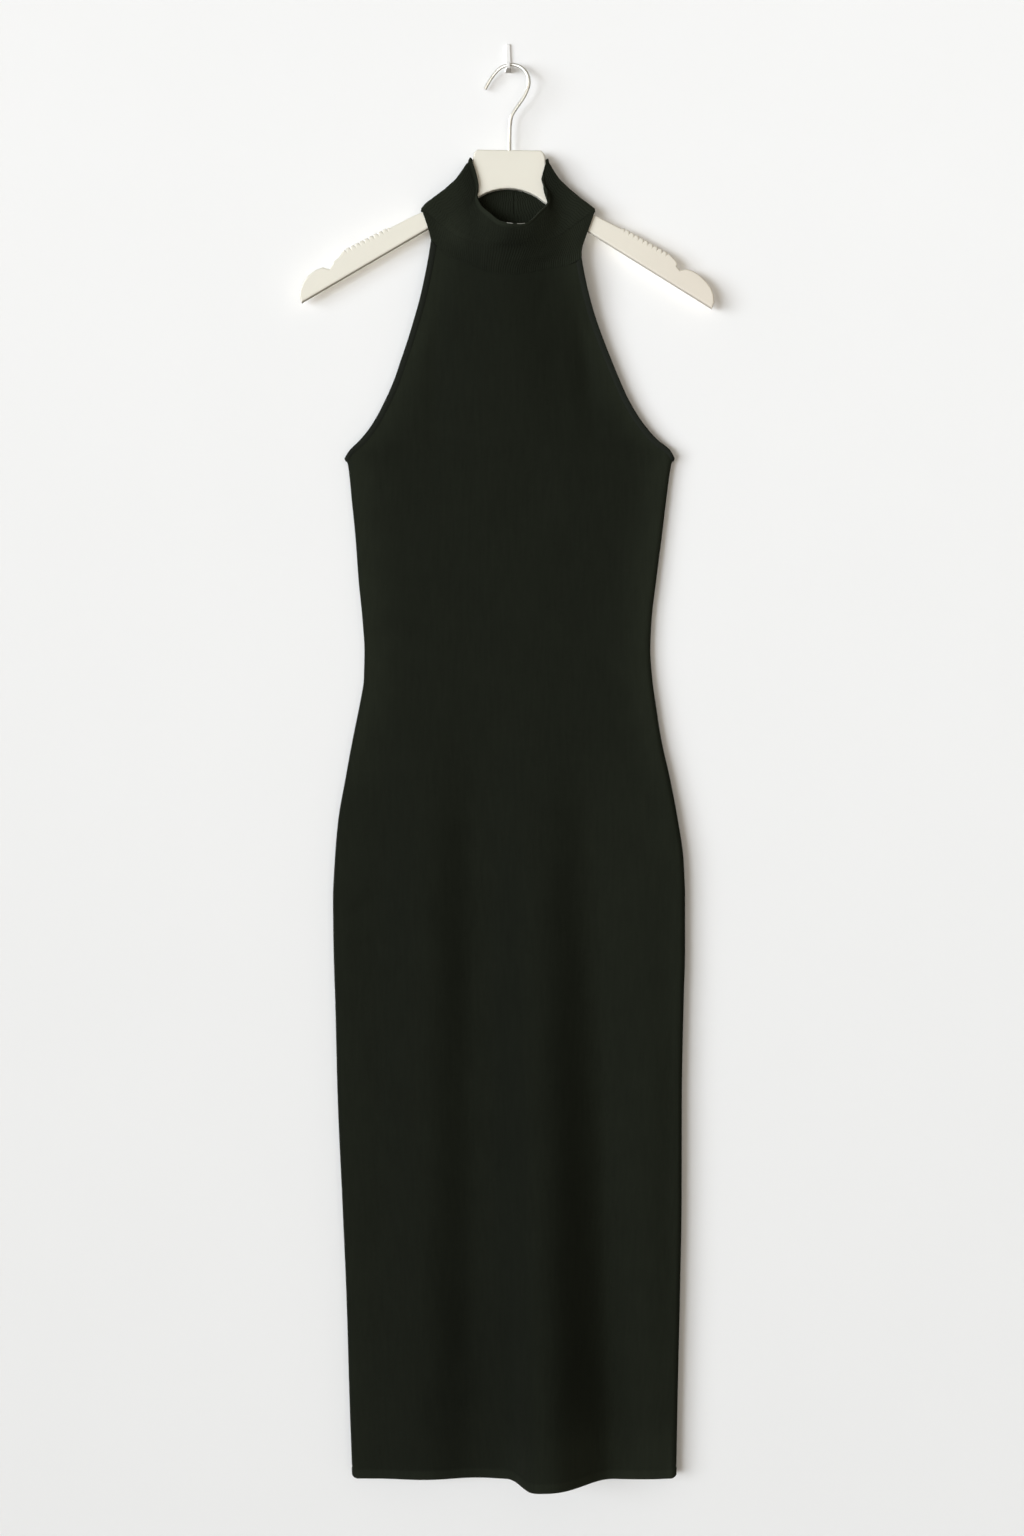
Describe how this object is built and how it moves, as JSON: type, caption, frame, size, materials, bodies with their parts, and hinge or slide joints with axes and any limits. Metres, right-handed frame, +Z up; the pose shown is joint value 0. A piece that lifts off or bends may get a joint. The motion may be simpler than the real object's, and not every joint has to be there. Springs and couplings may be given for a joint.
{
  "type": "turtleneck sweater dress on a hanger",
  "caption": "Sleeveless fine-knit midi dress with a high ribbed halter collar, on a flat notched hanger that hangs by its wire hook from a small wall hook.",
  "frame": {"origin": "on the back face of the wall hook's plate, in the plane of the wall", "axes": "+X to the viewer's right, +Y into the wall, +Z up along the dress's length"},
  "size_m": [0.4169, 0.0702, 1.4463],
  "materials": {
    "fine_knit": "fine plain knit, near black, soft and matte",
    "rib_knit": "fine rib knit, near black, soft and matte",
    "edge_knit": "narrow knitted band, near black",
    "painted_board": "smooth satin cream paint",
    "hook_wire": "plated wire, bright but a little dull",
    "white_paint": "white paint"
  },
  "bodies": {
    "root": {"collar": "rib_knit", "front_panel": "fine_knit", "back_panel": "fine_knit", "armhole_trim_left": "edge_knit", "armhole_trim_right": "edge_knit", "hanger_board": "painted_board", "hanger_hook": "hook_wire", "wall_hook": "white_paint"}
  },
  "joints": []
}
